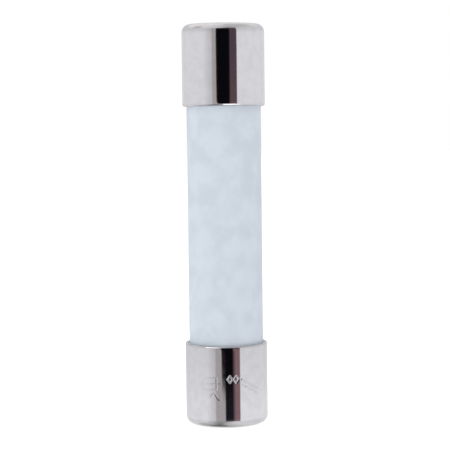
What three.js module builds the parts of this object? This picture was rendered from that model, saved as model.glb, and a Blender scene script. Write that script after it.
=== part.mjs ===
// A ceramic cartridge fuse of the 6.3 x 32 mm (1/4 x 1-1/4 inch) size, as an assembly of its separate pieces:
// two drawn end caps cemented over a ceramic tube and, inside it, a fuse wire wound on a fibre core, soldered
// into both caps and packed in quartz sand. Millimetres. +Z runs along the fuse, and the origin is the middle
// of the lower cap's end face, on which the fuse stands.
import * as THREE from "three";

// Driving dimensions
const FUSE_LENGTH = 31.2;
const CAP_DIAMETER = 6.4;
const CAP_LENGTH = 6.35;
const CAP_WALL = 0.22;
const SHOULDER_RADIUS = 0.6;
const TUBE_DIAMETER = 5.8;
const TUBE_BORE = 3.9;
const SOLDER_THICKNESS = 0.45;
const WASHER_THICKNESS = 0.25;
const CORE_RADIUS = 0.3;
const WIRE_RADIUS = 0.08;
const WINDING_PITCH = 1.2;

// Clearances between neighbours, and the depth that the cement keeps back from each end of its sleeve
const SEAT_GAP = 0.02;
const WINDING_GAP = 0.04;
const CEMENT_GAP = 0.01;
const CEMENT_SET_BACK = 0.5;

// Facets: one count for all the wide coaxial pieces, so that their flats line up
const ROUND_SIDES = 48;
const CORE_SIDES = 16;
const WIRE_SIDES = 6;
const WIRE_STEPS_PER_TURN = 10;
const FILLET_STEPS = 4;

// Radii that follow from them
const CAP_RADIUS = CAP_DIAMETER / 2;
const CAP_BORE_RADIUS = CAP_RADIUS - CAP_WALL;
const CAP_FLOOR_RADIUS = CAP_RADIUS - SHOULDER_RADIUS;
const TUBE_RADIUS = TUBE_DIAMETER / 2;
const WINDING_RADIUS = CORE_RADIUS + WINDING_GAP + WIRE_RADIUS;
const SOCKET_RADIUS = WINDING_RADIUS + WIRE_RADIUS + SEAT_GAP;

// Heights at the lower end, from the cap's end face up. The upper end mirrors them.
const SOLDER_BOTTOM = CAP_WALL + SEAT_GAP;
const SOCKET_FLOOR = SOLDER_BOTTOM + SOLDER_THICKNESS / 3;
const CORE_END = SOCKET_FLOOR + SEAT_GAP;
const WIRE_END = CORE_END + WIRE_RADIUS + SEAT_GAP;
const SOLDER_TOP = SOLDER_BOTTOM + SOLDER_THICKNESS;
const WASHER_BOTTOM = SOLDER_TOP + SEAT_GAP;
const WASHER_TOP = WASHER_BOTTOM + WASHER_THICKNESS;
const TUBE_BOTTOM = WASHER_TOP + SEAT_GAP;

const FINISH = {
  nickel: { color: 0xd6d4da, roughness: 0.15, metalness: 1 },
  ceramic: { color: 0xd0d9e3, roughness: 0.55, metalness: 0 },
  cement: { color: 0xb9b2a2, roughness: 0.8, metalness: 0 },
  solder: { color: 0xa9abae, roughness: 0.35, metalness: 1 },
  fibre: { color: 0xcabf9f, roughness: 0.9, metalness: 0 },
  tinnedCopper: { color: 0xc9ccd0, roughness: 0.25, metalness: 1 },
  yarn: { color: 0xe9e6dc, roughness: 0.9, metalness: 0 },
  quartz: { color: 0xd9cfbb, roughness: 0.95, metalness: 0 },
};

// The points of an outline whose corners are [radius, height], or [radius, height, fillet] for a corner that
// is rounded by an arc.
function outline(corners) {
  const towards = ([r, h], corner) => new THREE.Vector2(r, h).sub(corner).normalize();
  return corners.flatMap(([radius, height, fillet], i) => {
    const corner = new THREE.Vector2(radius, height);
    if (!fillet) return [corner];
    const back = towards(corners.at(i - 1), corner);
    const onward = towards(corners[(i + 1) % corners.length], corner);
    const half = back.angleTo(onward) / 2;
    const sweep = Math.sign(onward.cross(back)) * (Math.PI - 2 * half);
    const start = corner.clone().addScaledVector(back, fillet / Math.tan(half));
    const centre = back.add(onward).setLength(fillet / Math.sin(half)).add(corner);
    return Array.from({ length: FILLET_STEPS + 1 }, (_, k) =>
      start.clone().rotateAround(centre, (sweep * k) / FILLET_STEPS),
    );
  });
}

// The solid that an outline sweeps out when it turns about Z. It runs from axis to axis, or closes on itself.
function turned(corners, sides = ROUND_SIDES) {
  return new THREE.LatheGeometry(outline(corners), sides).rotateX(Math.PI / 2);
}

// A square-edged ring about Z.
function ring(inner, outer, bottom, top) {
  const corners = [
    [inner, bottom],
    [outer, bottom],
    [outer, top],
    [inner, top],
    [inner, bottom],
  ];
  return turned(corners);
}

function piece(name, geometry, finish) {
  const mesh = new THREE.Mesh(geometry, new THREE.MeshStandardMaterial(finish));
  mesh.name = name;
  return mesh;
}

// A drawn cup with a flat end, a rounded shoulder and a rounded rim, open upwards.
function endCap() {
  const rimFillet = 0.45 * CAP_WALL;
  return turned([
    [0, 0],
    [CAP_RADIUS, 0, SHOULDER_RADIUS],
    [CAP_RADIUS, CAP_LENGTH, rimFillet],
    [CAP_BORE_RADIUS, CAP_LENGTH, rimFillet],
    [CAP_BORE_RADIUS, CAP_WALL, SHOULDER_RADIUS - CAP_WALL],
    [0, CAP_WALL],
  ]);
}

// The thin sleeve of cement that bonds the cap to the tube.
function capCement() {
  return ring(
    TUBE_RADIUS + CEMENT_GAP,
    CAP_BORE_RADIUS - CEMENT_GAP,
    TUBE_BOTTOM + CEMENT_SET_BACK,
    CAP_LENGTH - CEMENT_SET_BACK,
  );
}

// The domed pool of solder on the cap's floor, with a socket that holds the end of the wire and its core.
function solderJoint() {
  return turned([
    [0, SOLDER_BOTTOM],
    [CAP_FLOOR_RADIUS, SOLDER_BOTTOM],
    [CAP_FLOOR_RADIUS, SOLDER_BOTTOM + SOLDER_THICKNESS / 2],
    [CAP_FLOOR_RADIUS / 2, SOLDER_TOP],
    [SOCKET_RADIUS, SOLDER_TOP],
    [SOCKET_RADIUS, SOCKET_FLOOR],
    [0, SOCKET_FLOOR],
  ]);
}

// The fibre washer that closes the end of the tube round the wire and keeps the sand in.
function sealingWasher() {
  return ring(SOCKET_RADIUS, TUBE_RADIUS, WASHER_BOTTOM, WASHER_TOP);
}

// The pieces at one end of the fuse, as they lie at its lower end.
function endPieces(prefix) {
  const group = new THREE.Group();
  group.add(
    piece(`${prefix}_end_cap`, endCap(), FINISH.nickel),
    piece(`${prefix}_cap_cement`, capCement(), FINISH.cement),
    piece(`${prefix}_solder_joint`, solderJoint(), FINISH.solder),
    piece(`${prefix}_sealing_washer`, sealingWasher(), FINISH.fibre),
  );
  return group;
}

function ceramicTube() {
  return ring(TUBE_BORE / 2, TUBE_RADIUS, TUBE_BOTTOM, FUSE_LENGTH - TUBE_BOTTOM);
}

// The sand that fills the tube round the wire.
function sandFiller() {
  return ring(SOCKET_RADIUS, TUBE_BORE / 2 - SEAT_GAP, TUBE_BOTTOM, FUSE_LENGTH - TUBE_BOTTOM);
}

// The straight core of fibre yarn that carries the winding from one solder joint to the other.
function elementCore() {
  const corners = [
    [0, CORE_END],
    [CORE_RADIUS, CORE_END],
    [CORE_RADIUS, FUSE_LENGTH - CORE_END],
    [0, FUSE_LENGTH - CORE_END],
  ];
  return turned(corners, CORE_SIDES);
}

// A helix about Z, from one height to another.
class Helix extends THREE.Curve {
  constructor(radius, pitch, bottom, top) {
    super();
    Object.assign(this, { radius, pitch, bottom, top });
  }

  getPoint(t, target = new THREE.Vector3()) {
    const climb = t * (this.top - this.bottom);
    const angle = (2 * Math.PI * climb) / this.pitch;
    return target.set(this.radius * Math.cos(angle), this.radius * Math.sin(angle), this.bottom + climb);
  }
}

// The fuse wire, wound round the core as an open helix.
function fuseWire() {
  const path = new Helix(WINDING_RADIUS, WINDING_PITCH, WIRE_END, FUSE_LENGTH - WIRE_END);
  const turns = (path.top - path.bottom) / WINDING_PITCH;
  const corners = Array.from({ length: WIRE_SIDES }, (_, i) =>
    new THREE.Vector2(WIRE_RADIUS, 0).rotateAround(new THREE.Vector2(), (2 * Math.PI * i) / WIRE_SIDES),
  );
  return new THREE.ExtrudeGeometry(new THREE.Shape(corners), {
    extrudePath: path,
    steps: Math.round(turns * WIRE_STEPS_PER_TURN),
    bevelEnabled: false,
  });
}

const lowerEnd = endPieces("lower");
const upperEnd = endPieces("upper");
upperEnd.rotation.x = Math.PI;
upperEnd.position.z = FUSE_LENGTH;

const fuse = new THREE.Group();
fuse.add(
  lowerEnd,
  upperEnd,
  piece("ceramic_tube", ceramicTube(), FINISH.ceramic),
  piece("sand_filler", sandFiller(), FINISH.quartz),
  piece("element_core", elementCore(), FINISH.yarn),
  piece("fuse_wire", fuseWire(), FINISH.tinnedCopper),
);

export default fuse;
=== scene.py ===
"""A ceramic cartridge fuse standing in a white light tent: its looks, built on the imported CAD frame."""

import math

import bpy
import numpy as np
from mathutils import Matrix, Vector


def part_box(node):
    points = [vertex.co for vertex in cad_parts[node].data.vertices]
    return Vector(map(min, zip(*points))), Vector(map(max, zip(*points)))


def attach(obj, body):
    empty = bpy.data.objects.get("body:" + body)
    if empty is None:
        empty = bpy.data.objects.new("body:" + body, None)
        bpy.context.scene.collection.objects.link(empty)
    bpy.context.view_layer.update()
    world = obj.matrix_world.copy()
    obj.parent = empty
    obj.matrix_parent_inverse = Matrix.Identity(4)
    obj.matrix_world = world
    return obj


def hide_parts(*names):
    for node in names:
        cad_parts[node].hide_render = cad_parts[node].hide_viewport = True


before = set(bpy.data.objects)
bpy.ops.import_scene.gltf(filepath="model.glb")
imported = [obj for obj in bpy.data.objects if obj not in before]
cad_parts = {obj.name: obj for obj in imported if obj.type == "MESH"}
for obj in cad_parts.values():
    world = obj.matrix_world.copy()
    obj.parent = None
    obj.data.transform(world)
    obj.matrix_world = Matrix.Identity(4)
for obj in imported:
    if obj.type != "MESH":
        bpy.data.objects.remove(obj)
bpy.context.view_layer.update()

MM = 0.001
BODY = "root"

# Sizes that the frame gives. The lower cap stands on z = 0, and the upper cap mirrors it.
CAP_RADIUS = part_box("lower_end_cap")[1].x
CAP_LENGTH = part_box("lower_end_cap")[1].z
FUSE_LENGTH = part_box("upper_end_cap")[1].z
CEMENT_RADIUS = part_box("lower_cap_cement")[1].x
TUBE_LOW, TUBE_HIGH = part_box("ceramic_tube")
SAND_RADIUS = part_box("sand_filler")[1].x

# The gaps that the CAD pieces keep: round the cement, and between the pieces inside
CEMENT_GAP = 0.01 * MM
SEAT_GAP = 0.02 * MM

# The caps
CAP_BORE_RADIUS = CEMENT_RADIUS + CEMENT_GAP
CAP_WALL = CAP_RADIUS - CAP_BORE_RADIUS
SHOULDER_RADIUS = 0.6 * MM
RIM_INNER_FILLET = 0.06 * MM

# The marks stamped in the lower cap: grooves in its wall, drawn in millimetres on the wall rolled out flat,
# with x to the right of the front and y up from the cap's end face
DEEP_MARK = 0.035 * MM
SHALLOW_MARK = 0.014 * MM
MARK_HALF_WIDTH = 0.085 * MM
MARK_SECTOR = (-45, 65)
MARK_BAND = (1.9 * MM, 4.5 * MM)

# The winding inside
WIRE_RADIUS = 0.08 * MM
WIRE_GAP = 0.04 * MM
WINDING_PITCH = 1.2 * MM
SOCKET_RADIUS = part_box("fuse_wire")[1].x + SEAT_GAP

# The dark and coloured things that the metal mirrors besides the white tent
BEHIND_DARK = (0.1, 0.1, 0.1)
CAMERA_DARK = (0.0042, 0.004, 0.006)
LOW_DARK = (0.016, 0.015, 0.02)
BEIGE_CARD = (0.53, 0.49, 0.475)
BROWN_LOW = (0.29, 0.18, 0.19)
BROWN_HIGH = (0.1, 0.068, 0.08)


def rounded(corners, steps=10):
    """The points of an outline whose corners are (radius, height, fillet)."""
    points = []
    for i, (*place, fillet) in enumerate(corners):
        corner = Vector(place)
        if not fillet:
            points.append(corner)
            continue
        back = (Vector(corners[i - 1][:2]) - corner).normalized()
        onward = (Vector(corners[(i + 1) % len(corners)][:2]) - corner).normalized()
        half = back.angle(onward) / 2
        centre = corner + (back + onward).normalized() * (fillet / math.sin(half))
        start = corner + back * (fillet / math.tan(half)) - centre
        sweep = math.copysign(math.pi - 2 * half, onward.cross(back))
        points += [centre + Matrix.Rotation(sweep * k / steps, 2) @ start for k in range(steps + 1)]
    return points


def stepped(points, longest):
    """The same outline with each straight run cut into steps no longer than longest(radius, height)."""
    cut = []
    for a, b in zip(points, points[1:]):
        cut.append(a)
        while (b - cut[-1]).length > 1.01 * longest(*cut[-1]):
            cut.append(cut[-1] + (b - cut[-1]).normalized() * longest(*cut[-1]))
    return cut + [points[-1]]


def lathe(name, outline, angles, relief=None):
    """The mesh that an outline sweeps out about Z. It runs from axis to axis, or closes on itself.

    Angles are in radians from -Y towards +X. relief(radius, height, angle) moves a point out from the axis.
    """
    angles = np.asarray(angles)
    radius, height = np.array(outline)[:, :1], np.array(outline)[:, 1:]
    grid_radius = np.repeat(radius, len(angles), axis=1)
    if relief:
        grid_radius = grid_radius + relief(grid_radius, height, angles[None, :])
    points, rows = [], []
    for i, ring in enumerate(grid_radius):
        on_axis = radius[i, 0] < 1e-9
        rows.append([len(points) + (0 if on_axis else k) for k in range(len(angles))])
        for r, angle in zip(ring[:1] if on_axis else ring, angles):
            points.append((r * math.sin(angle), -r * math.cos(angle), height[i, 0]))
    faces = []
    for low, high in zip(rows, rows[1:]):
        for k in range(len(angles)):
            onward = (k + 1) % len(angles)
            face = dict.fromkeys((low[k], low[onward], high[onward], high[k]))
            faces.append(tuple(face))
    mesh = bpy.data.meshes.new(name)
    mesh.from_pydata(points, [], faces)
    mesh.shade_smooth()
    return mesh


def turns(step):
    """Even angles all the way round, for a step in degrees."""
    return np.radians(np.arange(0, 360, step))


def upended(mesh):
    """The mesh of a lower piece, moved to the fuse's upper end."""
    mesh.transform(Matrix.Translation((0, 0, FUSE_LENGTH)) @ Matrix.Rotation(math.pi, 4, "X"))
    return mesh


def piece(name, mesh, node, finish):
    """A piece that rides on the fuse and stands for a CAD node."""
    made = bpy.data.objects.new(name, mesh)
    bpy.context.scene.collection.objects.link(made)
    made.data.materials.append(finish)
    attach(made, BODY)
    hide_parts(node)
    return made


# Node trees


def add(tree, kind, inputs=None, **settings):
    """A node with its settings and inputs. An input is a number, a colour, or the socket that feeds it."""
    made = tree.nodes.new(kind)
    for key, value in settings.items():
        setattr(made, key, value)
    for key, value in (inputs or {}).items():
        if isinstance(value, bpy.types.NodeSocket):
            tree.links.new(value, made.inputs[key])
        else:
            made.inputs[key].default_value = value
    return made


def calculate(tree, operation, *values):
    return add(tree, "ShaderNodeMath", dict(enumerate(values)), operation=operation).outputs[0]


def span(tree, value, start, end, low=0.0, high=1.0, smooth=True):
    """low where value is at start or below, high at end or above, and between them in between."""
    inputs = {"Value": value, "From Min": start, "From Max": end, "To Min": low, "To Max": high}
    kind = "SMOOTHSTEP" if smooth else "LINEAR"
    return add(tree, "ShaderNodeMapRange", inputs, interpolation_type=kind).outputs["Result"]


def layer(tree, factor, below, above):
    """Colour above laid over colour below by a factor."""
    made = add(tree, "ShaderNodeMix", data_type="RGBA")
    for socket, value in zip((made.inputs[0], made.inputs[6], made.inputs[7]), (factor, below, above)):
        if isinstance(value, bpy.types.NodeSocket):
            tree.links.new(value, socket)
        else:
            socket.default_value = value if isinstance(value, (int, float)) else (*value, 1)
    return made.outputs[2]


def ramp(tree, factor, stops):
    """A colour ramp of (position, colour) stops."""
    made = add(tree, "ShaderNodeValToRGB", {"Fac": factor})
    elements = made.color_ramp.elements
    while len(elements) < len(stops):
        elements.new(1)
    for element, (position, colour) in zip(elements, stops):
        element.position = position
        element.color = (*colour, 1)
    return made.outputs["Color"]


def material(name):
    """A new material, with its node tree, its shader and the object's coordinates."""
    made = bpy.data.materials.new(name)
    made.use_nodes = True
    tree = made.node_tree
    place = add(tree, "ShaderNodeTexCoord").outputs["Object"]
    return made, tree, tree.nodes["Principled BSDF"], place


def near_ends(tree, place, distance, reach):
    """1 at the given distance from either end of the fuse, fading to 0 over a reach."""
    height = add(tree, "ShaderNodeSeparateXYZ", {"Vector": place}).outputs["Z"]
    from_top = calculate(tree, "SUBTRACT", FUSE_LENGTH, height)
    return span(tree, calculate(tree, "MINIMUM", height, from_top), distance, distance + reach, 1, 0)


# The end caps


def line(*points):
    return [Vector(p) for p in points]


def wave(left, right, height, swing, periods=1, steps=16):
    """A sine wave, as the sign for alternating current."""
    reach = [k / steps for k in range(steps + 1)]
    return [
        Vector((left + (right - left) * t, height + swing * math.sin(2 * math.pi * periods * t)))
        for t in reach
    ]


def slanted(strokes, centre, degrees):
    """Strokes turned about a point."""
    centre = Vector(centre)
    turn = Matrix.Rotation(math.radians(degrees), 2)
    return [[centre + turn @ (p - centre) for p in stroke] for stroke in strokes]


def stamped_marks():
    """Plain drawing signs: the fuse symbol over a wave, two diamonds and a dot, and a slanted DC symbol.

    They come as groups of (depth, strokes).
    """
    fuse_symbol = [
        line((-1.85, 3.95), (-0.8, 3.95), (-0.8, 3.05), (-1.85, 3.05), (-1.85, 3.95)),
        line((-2.1, 3.5), (-0.5, 3.5)),
    ]
    small_wave = [wave(-1.25, -0.35, 2.5, 0.24)]
    diamonds = [
        line((x - 0.2, 3.83), (x, 4.1), (x + 0.2, 3.83), (x, 3.56), (x - 0.2, 3.83)) for x in (0.25, 0.75)
    ]
    dot = [line((1.12, 3.83), (1.14, 3.83))]
    direct_current = [line((1.2, 3.35), (2.8, 3.35))]
    direct_current += [line((x, 3.0), (x + 0.35, 3.0)) for x in (1.2, 1.82, 2.45)]
    return [
        (SHALLOW_MARK, [*fuse_symbol, *small_wave]),
        (DEEP_MARK, [*diamonds, *dot, *slanted(direct_current, (2, 3.2), -28)]),
    ]


def stamp(radius, height, angle):
    """How far the marks push the lower cap's outer wall in."""
    across, up = np.broadcast_arrays(CAP_RADIUS * (np.mod(angle + math.pi, 2 * math.pi) - math.pi), height)
    pushed = np.zeros(across.shape)
    for depth, strokes in stamped_marks():
        nearest = np.full(across.shape, np.inf)
        for stroke in strokes:
            for a, b in zip(stroke, stroke[1:]):
                (ax, ay), (bx, by) = a * MM, b * MM
                run = (bx - ax) ** 2 + (by - ay) ** 2
                share = np.clip(((across - ax) * (bx - ax) + (up - ay) * (by - ay)) / run, 0, 1)
                gap = np.hypot(across - ax - share * (bx - ax), up - ay - share * (by - ay))
                nearest = np.minimum(nearest, gap)
        fill = np.clip(1 - nearest / MARK_HALF_WIDTH, 0, 1)
        pushed = np.maximum(pushed, depth * fill * fill * (3 - 2 * fill))
    return np.where(radius > CAP_RADIUS - 1e-6, -pushed, 0)


def cap_mesh(name, rim_fillet, marked):
    """A drawn cup that stands on its flat end, with a rounded shoulder and an eased rim."""
    corners = [
        (0, 0, 0),
        (CAP_RADIUS, 0, SHOULDER_RADIUS),
        (CAP_RADIUS, CAP_LENGTH, rim_fillet),
        (CAP_BORE_RADIUS, CAP_LENGTH, RIM_INNER_FILLET),
        (CAP_BORE_RADIUS, CAP_WALL, SHOULDER_RADIUS - CAP_WALL),
        (0, CAP_WALL, 0),
    ]
    coarse, fine = 0.3 * MM, 0.022 * MM
    if not marked:
        return lathe(name, stepped(rounded(corners), lambda radius, height: coarse), turns(3))
    low, high = MARK_BAND
    left, right = MARK_SECTOR
    angles = [*np.arange(left, right, 0.4), *np.arange(right, 360 + left, 3)]

    def longest(radius, height):
        return fine if radius > CAP_BORE_RADIUS + 1e-6 and low < height < high else coarse

    return lathe(name, stepped(rounded(corners), longest), np.radians(angles), stamp)


def nickel(name, ripple, roughness, rim):
    """Bright nickel plate with shallow ripples, fine draw lines along the cap, tarnish and worn shoulders.

    rim is how much of the plate's brightness a painted shade leaves at the cap's cut edge.
    """
    made, tree, shader, place = material(name)
    along = add(tree, "ShaderNodeMapping", {"Vector": place, "Scale": (1, 1, 0.04)}).outputs["Vector"]
    drawn = add(tree, "ShaderNodeMapping", {"Vector": place, "Scale": (1, 1, 0.4)}).outputs["Vector"]
    ripples = add(tree, "ShaderNodeTexNoise", {"Vector": drawn, "Scale": 420, "Detail": 1}).outputs["Fac"]
    lines = add(tree, "ShaderNodeTexNoise", {"Vector": along, "Scale": 7000, "Detail": 2}).outputs["Fac"]
    tarnish = add(tree, "ShaderNodeTexNoise", {"Vector": place, "Scale": 1500, "Detail": 4}).outputs["Fac"]
    wide = add(tree, "ShaderNodeBump", {"Strength": 1, "Distance": ripple, "Height": ripples})
    fine = add(tree, "ShaderNodeBump", {"Strength": 1, "Distance": 0.0007 * MM, "Height": lines})
    tree.links.new(wide.outputs["Normal"], fine.inputs["Normal"])
    tree.links.new(fine.outputs["Normal"], shader.inputs["Normal"])
    bright, dull, brownish = (0.66, 0.652, 0.685), (0.625, 0.615, 0.645), (0.625, 0.597, 0.582)
    painted_rim_shade = (0.65 * rim, 0.64 * rim, 0.67 * rim)
    tint = layer(tree, span(tree, tarnish, 0.35, 0.7), bright, dull)
    worn = calculate(tree, "MULTIPLY", near_ends(tree, place, 0, 0.7 * MM), span(tree, tarnish, 0.3, 0.75))
    tint = layer(tree, worn, tint, brownish)
    # Painted shade: the plate darkens towards its cut edge at the rim.
    clear_of_rim_shade = near_ends(tree, place, CAP_LENGTH - 0.2 * MM, 0.12 * MM)
    tint = layer(tree, clear_of_rim_shade, painted_rim_shade, tint)
    tree.links.new(tint, shader.inputs["Base Color"])
    rough = span(tree, tarnish, 0.3, 0.75, roughness, 1.6 * roughness)
    tree.links.new(rough, shader.inputs["Roughness"])
    shader.inputs["Metallic"].default_value = 1
    return made


# The ceramic tube


def tube_mesh(name):
    bore = SAND_RADIUS + SEAT_GAP
    ease = 0.12 * MM
    low, high, radius = TUBE_LOW.z, TUBE_HIGH.z, TUBE_HIGH.x
    corners = [(bore, low, ease), (radius, low, ease), (radius, high, ease), (bore, high, ease)]
    points = rounded(corners, steps=6)
    return lathe(name, stepped([*points, points[0]], lambda radius, height: 0.5 * MM), turns(3))


def ceramic():
    """Unglazed white ceramic with a cool tint, a faint mottle, a fine grain and a grey painted shade by the
    caps.
    """
    made, tree, shader, place = material("white_ceramic")
    mottle = add(tree, "ShaderNodeTexNoise", {"Vector": place, "Scale": 700, "Detail": 5}).outputs["Fac"]
    grain = add(tree, "ShaderNodeTexNoise", {"Vector": place, "Scale": 9000, "Detail": 3}).outputs["Fac"]
    dim, pale, painted_shade_tint = (0.55, 0.605, 0.67), (0.6, 0.655, 0.72), (0.47, 0.51, 0.58)
    tint = layer(tree, span(tree, mottle, 0.35, 0.65), dim, pale)
    # Painted shade: a grey band on the tube next to each cap's rim, where the caps shade it.
    painted_shade_mask = calculate(tree, "MULTIPLY", near_ends(tree, place, CAP_LENGTH, 0.7 * MM), 0.32)
    tint = layer(tree, painted_shade_mask, tint, painted_shade_tint)
    tree.links.new(tint, shader.inputs["Base Color"])
    tree.links.new(span(tree, grain, 0.3, 0.7, 0.5, 0.68), shader.inputs["Roughness"])
    bump = add(tree, "ShaderNodeBump", {"Strength": 1, "Distance": 0.002 * MM, "Height": grain})
    tree.links.new(bump.outputs["Normal"], shader.inputs["Normal"])
    shader.inputs["Specular IOR Level"].default_value = 0.3
    shader.inputs["Subsurface Weight"].default_value = 0.15
    shader.inputs["Subsurface Radius"].default_value = (1.0, 1.0, 1.0)
    shader.inputs["Subsurface Scale"].default_value = 0.3 * MM
    return made


# Inside the fuse


def cement_mesh(name):
    """The sleeve of cement between the tube and the cap, which swells into the rim."""
    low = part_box("lower_cap_cement")[0].z
    inner = TUBE_HIGH.x + CEMENT_GAP
    high = CAP_LENGTH - CEMENT_GAP
    slope = 0.04 * MM
    corners = [
        (inner, low, 0),
        (CEMENT_RADIUS, low, 0),
        (CEMENT_RADIUS, high - slope, 0),
        (inner, high, 0),
    ]
    points = rounded(corners)
    return lathe(name, stepped([*points, points[0]], lambda radius, height: 0.4 * MM), turns(4))


def solder_mesh(name):
    """The domed pool of solder on the cap's floor, with a socket for the end of the wire."""
    low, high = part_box("lower_solder_joint")
    core_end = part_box("element_core")[0].z - SEAT_GAP
    corners = [
        (0, low.z, 0),
        (high.x, low.z, 0.06 * MM),
        (high.x, (low.z + high.z) / 2, 0.1 * MM),
        (high.x / 2, high.z, 3 * MM),
        (SOCKET_RADIUS, high.z, 0.06 * MM),
        (SOCKET_RADIUS, core_end, 0),
        (0, core_end, 0),
    ]
    return lathe(name, stepped(rounded(corners, steps=6), lambda radius, height: 0.2 * MM), turns(5))


def yarn_mesh(name):
    """The core of three strands twisted together."""
    low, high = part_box("element_core")
    strands, twist, groove = 3, 2 * math.pi / (1.5 * MM), 0.05 * MM
    corners = [(0, low.z, 0), (high.x, low.z, 0.03 * MM), (high.x, high.z, 0.03 * MM), (0, high.z, 0)]

    def between_strands(radius, height, angle):
        return -groove * (radius / high.x) * (0.5 + 0.5 * np.cos(strands * (angle - twist * height)))

    points = stepped(rounded(corners, steps=3), lambda radius, height: 0.12 * MM)
    return lathe(name, points, turns(15), between_strands)


def wire_mesh(name, sides=8, steps_per_turn=24):
    """The fuse wire, wound round the core as an open helix and closed at both ends."""
    low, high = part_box("fuse_wire")
    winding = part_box("element_core")[1].x + WIRE_GAP + WIRE_RADIUS
    start, climb = low.z + WIRE_RADIUS, high.z - low.z - 2 * WIRE_RADIUS
    steps = round(climb / WINDING_PITCH * steps_per_turn)
    points = []
    for i in range(steps + 1):
        angle = 2 * math.pi * climb * i / steps / WINDING_PITCH
        outward = Vector((math.cos(angle), math.sin(angle), 0))
        forward = Vector((-math.sin(angle), math.cos(angle), WINDING_PITCH / (2 * math.pi * winding)))
        across = forward.normalized().cross(outward)
        centre = winding * outward + Vector((0, 0, start + climb * i / steps))
        for k in range(sides):
            turn = 2 * math.pi * k / sides
            points.append(centre + WIRE_RADIUS * (math.cos(turn) * outward + math.sin(turn) * across))
    faces = [tuple(range(sides)), tuple(steps * sides + k for k in reversed(range(sides)))]
    for i in range(steps):
        for k in range(sides):
            a, b = i * sides + k, i * sides + (k + 1) % sides
            faces.append((a, a + sides, b + sides, b))
    mesh = bpy.data.meshes.new(name)
    mesh.from_pydata(points, [], faces)
    mesh.shade_smooth()
    return mesh


def grained(name, light, dark, scale, relief, roughness, metallic=0, stretch=(1, 1, 1)):
    """A surface of two mixed tints, with a grain as deep as relief. scale is in grains to the metre."""
    made, tree, shader, place = material(name)
    drawn = add(tree, "ShaderNodeMapping", {"Vector": place, "Scale": stretch}).outputs["Vector"]
    grain = add(tree, "ShaderNodeTexNoise", {"Vector": drawn, "Scale": scale, "Detail": 4}).outputs["Fac"]
    tree.links.new(layer(tree, span(tree, grain, 0.35, 0.65), dark, light), shader.inputs["Base Color"])
    tree.links.new(span(tree, grain, 0.3, 0.7, 1.2 * roughness, 0.8 * roughness), shader.inputs["Roughness"])
    bump = add(tree, "ShaderNodeBump", {"Strength": 1, "Distance": relief, "Height": grain})
    tree.links.new(bump.outputs["Normal"], shader.inputs["Normal"])
    shader.inputs["Metallic"].default_value = metallic
    return made


def quartz_sand():
    """Packed quartz grains, each with its own tint."""
    made, tree, shader, place = material("quartz_sand")
    cells = add(tree, "ShaderNodeTexVoronoi", {"Vector": place, "Scale": 4500})
    tone = add(tree, "ShaderNodeSeparateColor", {"Color": cells.outputs["Color"]}).outputs["Red"]
    stops = [(0, (0.5, 0.42, 0.3)), (0.35, (0.72, 0.66, 0.55)), (1, (0.86, 0.84, 0.8))]
    tree.links.new(ramp(tree, tone, stops), shader.inputs["Base Color"])
    tree.links.new(span(tree, tone, 0, 1, 0.85, 0.4), shader.inputs["Roughness"])
    height = calculate(tree, "SUBTRACT", 1.0, cells.outputs["Distance"])
    bump = add(tree, "ShaderNodeBump", {"Strength": 1, "Distance": 0.05 * MM, "Height": height})
    tree.links.new(bump.outputs["Normal"], shader.inputs["Normal"])
    return made


# The stage


def sided(tree, azimuth, mean, swing, bright_side):
    """Light that is strongest on one side of the tent and weakest on the other. Angles are in degrees."""
    turn = calculate(tree, "RADIANS", calculate(tree, "SUBTRACT", azimuth, bright_side))
    return calculate(tree, "MULTIPLY_ADD", calculate(tree, "COSINE", turn), swing, mean)


def gap(tree, azimuth, light, centre, reach, share):
    """The light with a soft dim gap in it, which leaves a share of the light at the gap's centre."""
    off = calculate(tree, "ABSOLUTE", calculate(tree, "SUBTRACT", azimuth, centre))
    return calculate(tree, "MULTIPLY", light, span(tree, off, 0, reach, share, 1))


def tent_wall(tree, azimuth, elevation):
    """The tent's wall level with the fuse, dimmer left of the cards, towards the back and straight behind."""
    off_front = calculate(tree, "ABSOLUTE", azimuth)
    left = span(tree, azimuth, -62, -32, 0.98, 0.75)
    right = span(tree, azimuth, 30, 36, 0, 1)
    wall = calculate(tree, "MAXIMUM", left, right)
    wall = calculate(tree, "MULTIPLY", wall, span(tree, off_front, 115, 150, 1, 0.9))

    rising = span(tree, elevation, -7, 0, 0.92, 1)
    sinking = span(tree, elevation, -10.6, -8.4, 1.15, 1)
    high_up = span(tree, elevation, 3, 8, 1, 0.86)
    off_skyline = calculate(tree, "ABSOLUTE", calculate(tree, "ADD", elevation, 9.75))
    skyline = span(tree, off_skyline, 0, 0.3, 0.95, 1)
    for shade in (rising, sinking, high_up, skyline):
        wall = calculate(tree, "MULTIPLY", wall, shade)

    behind = span(tree, off_front, 162, 175)
    behind = calculate(tree, "MULTIPLY", behind, span(tree, elevation, 4, 6, 1, 0))
    return layer(tree, behind, wall, BEHIND_DARK)


def tent_front(tree, azimuth, elevation, wall):
    """The wall with the beige card, the dark opening and the brown card before it, from left to right."""
    slant = span(tree, elevation, -10, -9.65, -4, -14, smooth=False)
    upright = span(tree, elevation, -7.5, 0.8, 0, -6, smooth=False)
    past_edge = calculate(tree, "SUBTRACT", azimuth, calculate(tree, "ADD", slant, upright))
    opening = layer(tree, span(tree, elevation, -10.4, -9.4), LOW_DARK, CAMERA_DARK)
    brown_edge = span(tree, elevation, -9, -6, 27, 21)
    brown_card = layer(tree, span(tree, elevation, -9, 2.5, smooth=False), BROWN_LOW, BROWN_HIGH)

    front = layer(tree, span(tree, azimuth, -34.5, -28.5), wall, BEIGE_CARD)
    front = layer(tree, span(tree, past_edge, -2, 2), front, opening)
    front = layer(tree, span(tree, azimuth, 15, brown_edge), front, brown_card)
    return layer(tree, span(tree, azimuth, 36.5, 39.7), front, wall)


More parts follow.
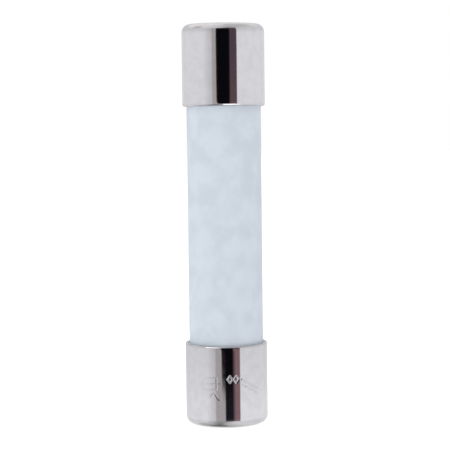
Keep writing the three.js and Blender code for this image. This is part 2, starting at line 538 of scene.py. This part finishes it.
def light_tent():
    """A white tent with a dark opening for the camera, and beside the opening a beige and a brown card."""
    world = bpy.data.worlds.new("light_tent")
    world.use_nodes = True
    tree = world.node_tree
    tree.nodes.clear()
    direction = add(tree, "ShaderNodeTexCoord").outputs["Generated"]
    x, y, z = add(tree, "ShaderNodeSeparateXYZ", {"Vector": direction}).outputs
    turn = calculate(tree, "ARCTAN2", x, calculate(tree, "MULTIPLY", y, -1.0))
    azimuth = calculate(tree, "DEGREES", turn)
    elevation = calculate(tree, "DEGREES", calculate(tree, "ARCSINE", z))

    # Above the wall the tent is brightest at the back left, and low down at the right. It is dimmer in gaps,
    # most of them near the opening.
    floor = sided(tree, azimuth, 0.45, 0.3, bright_side=95)
    under = sided(tree, azimuth, 0.75, 0.2, bright_side=95)
    under = gap(tree, azimuth, under, centre=-30, reach=35, share=0.4)
    low = gap(tree, azimuth, 0.9, centre=-20, reach=50, share=0.4)
    front = tent_front(tree, azimuth, elevation, tent_wall(tree, azimuth, elevation))
    upper = sided(tree, azimuth, 0.92, 0.15, bright_side=-140)
    upper = gap(tree, azimuth, upper, centre=20, reach=45, share=0.5)
    upper = gap(tree, azimuth, upper, centre=-92, reach=28, share=0.6)
    roof = sided(tree, azimuth, 0.88, 0.22, bright_side=-120)

    # Each zone fades into the next one up.
    light = layer(tree, span(tree, elevation, -74, -58), floor, under)
    light = layer(tree, span(tree, elevation, -54, -36), light, low)
    light = layer(tree, span(tree, elevation, -22, -13), light, front)
    light = layer(tree, span(tree, elevation, 24, 36), light, upper)
    light = layer(tree, span(tree, elevation, 44, 56), light, roof)

    seen = add(tree, "ShaderNodeLightPath").outputs["Is Camera Ray"]
    shown = layer(tree, seen, light, (1, 1, 1))
    background = add(tree, "ShaderNodeBackground", {"Color": shown}).outputs["Background"]
    add(tree, "ShaderNodeOutputWorld", {"Surface": background})
    bpy.context.scene.world = world


def looking(place, aim, roll=0.0):
    """The matrix of a camera or light at a place, turned to an aim and rolled by degrees."""
    facing = (aim - place).to_track_quat("-Z", "Y").to_matrix().to_4x4()
    return Matrix.Translation(place) @ facing @ Matrix.Rotation(math.radians(roll), 4, "Z")


def area_light(name, sides, energy, matrix):
    """A square or rectangular light, which the camera doesn't see."""
    data = bpy.data.lights.new(name, "AREA")
    data.shape = "RECTANGLE"
    data.size, data.size_y = sides
    data.energy = energy
    made = bpy.data.objects.new(name, data)
    bpy.context.scene.collection.objects.link(made)
    made.visible_camera = False
    made.matrix_world = matrix
    return made


def soft_light():
    """A large soft light in front of the fuse, which the metal doesn't mirror."""
    middle = Vector((0, 0, FUSE_LENGTH / 2))
    matrix = looking(middle + Vector((-30, -198, 30)) * MM, middle)
    area_light("soft_light", (120 * MM, 120 * MM), 0.1, matrix).visible_glossy = False


def glint_cards():
    """Two level cards in front of the fuse that only the metal mirrors, each as a glint on a rim.

    The card that faces up is seen by the upper cap, and the card that faces down by the lower one.
    """
    facing_up = Matrix.Translation(Vector((10, -27, 10)) * MM) @ Matrix.Rotation(math.pi, 4, "X")
    facing_down = Matrix.Translation(Vector((-11, -13, 16)) * MM) @ Matrix.Rotation(math.radians(-45), 4, "Z")
    area_light("upper_rim_card", (21 * MM, 25 * MM), 0.0031, facing_up).visible_diffuse = False
    area_light("lower_rim_card", (12 * MM, 12 * MM), 0.0013, facing_down).visible_diffuse = False


def pale_floor():
    """A plain pale floor. The metal mirrors the tent and not the floor."""
    reach = 0.8
    mesh = bpy.data.meshes.new("floor")
    corners = [(-reach, -reach, 0), (reach, -reach, 0), (reach, reach, 0), (-reach, reach, 0)]
    mesh.from_pydata(corners, [], [(0, 1, 2, 3)])
    floor = bpy.data.objects.new("floor", mesh)
    bpy.context.scene.collection.objects.link(floor)
    finish = bpy.data.materials.new("pale_floor")
    finish.use_nodes = True
    shader = finish.node_tree.nodes["Principled BSDF"]
    shader.inputs["Base Color"].default_value = (0.6, 0.6, 0.6, 1)
    shader.inputs["Roughness"].default_value = 0.9
    shader.inputs["Emission Color"].default_value = (1, 1, 1, 1)
    shader.inputs["Emission Strength"].default_value = 0.75
    mesh.materials.append(finish)
    floor.visible_glossy = False


def camera():
    """A long lens in front of the fuse, below its upper end, aimed near its middle and rolled a touch."""
    data = bpy.data.cameras.new("camera")
    data.lens = 129.1
    data.clip_start = 5 * MM
    made = bpy.data.objects.new("camera", data)
    bpy.context.scene.collection.objects.link(made)
    place = Vector((0, -126.2, 24.4)) * MM
    aim = Vector((0, 0, 15.55)) * MM
    made.matrix_world = looking(place, aim, roll=-0.665)
    bpy.context.scene.camera = made


light_tent()
soft_light()
glint_cards()
pale_floor()
camera()
bpy.context.scene.view_settings.view_transform = "Standard"

piece("ceramic_body", tube_mesh("ceramic_body"), "ceramic_tube", ceramic())
lower_shell = cap_mesh("lower_cap_shell", 0.09 * MM, marked=True)
lower_plate = nickel("stamped_nickel", 0.006 * MM, 0.045, rim=0.84)
piece("lower_cap_shell", lower_shell, "lower_end_cap", lower_plate)
upper_shell = upended(cap_mesh("upper_cap_shell", 0.18 * MM, marked=False))
upper_plate = nickel("bright_nickel", 0.0025 * MM, 0.05, rim=0.95)
piece("upper_cap_shell", upper_shell, "upper_end_cap", upper_plate)

cement = grained("cement", (0.8, 0.79, 0.76), (0.68, 0.67, 0.64), 9000, 0.01 * MM, 0.8)
piece("lower_cement_sleeve", cement_mesh("lower_cement_sleeve"), "lower_cap_cement", cement)
upper_sleeve = upended(cement_mesh("upper_cement_sleeve"))
piece("upper_cement_sleeve", upper_sleeve, "upper_cap_cement", cement)

solder = grained("solder", (0.5, 0.51, 0.53), (0.36, 0.37, 0.39), 2500, 0.01 * MM, 0.35, metallic=1)
piece("lower_solder_pool", solder_mesh("lower_solder_pool"), "lower_solder_joint", solder)
piece("upper_solder_pool", upended(solder_mesh("upper_solder_pool")), "upper_solder_joint", solder)

lengthwise, flat = (1, 1, 0.15), (1, 1, 4)
yarn = grained("fibre_yarn", (0.82, 0.8, 0.74), (0.6, 0.57, 0.5), 30000, 0.01 * MM, 0.85, stretch=lengthwise)
piece("twisted_yarn", yarn_mesh("twisted_yarn"), "element_core", yarn)
tinned = grained("tinned_copper", (0.62, 0.63, 0.66), (0.5, 0.5, 0.52), 12000, 0.002 * MM, 0.22, metallic=1)
piece("wound_wire", wire_mesh("wound_wire"), "fuse_wire", tinned)

# The CAD nodes that stay as they are get their looks in their own material slots.
fibre = grained("pressed_fibre", (0.6, 0.52, 0.36), (0.44, 0.37, 0.24), 6000, 0.012 * MM, 0.9, stretch=flat)
kept_finishes = {"lower_sealing_washer": fibre, "upper_sealing_washer": fibre, "sand_filler": quartz_sand()}
for name, finish in kept_finishes.items():
    for material_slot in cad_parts[name].material_slots:
        material_slot.material = finish
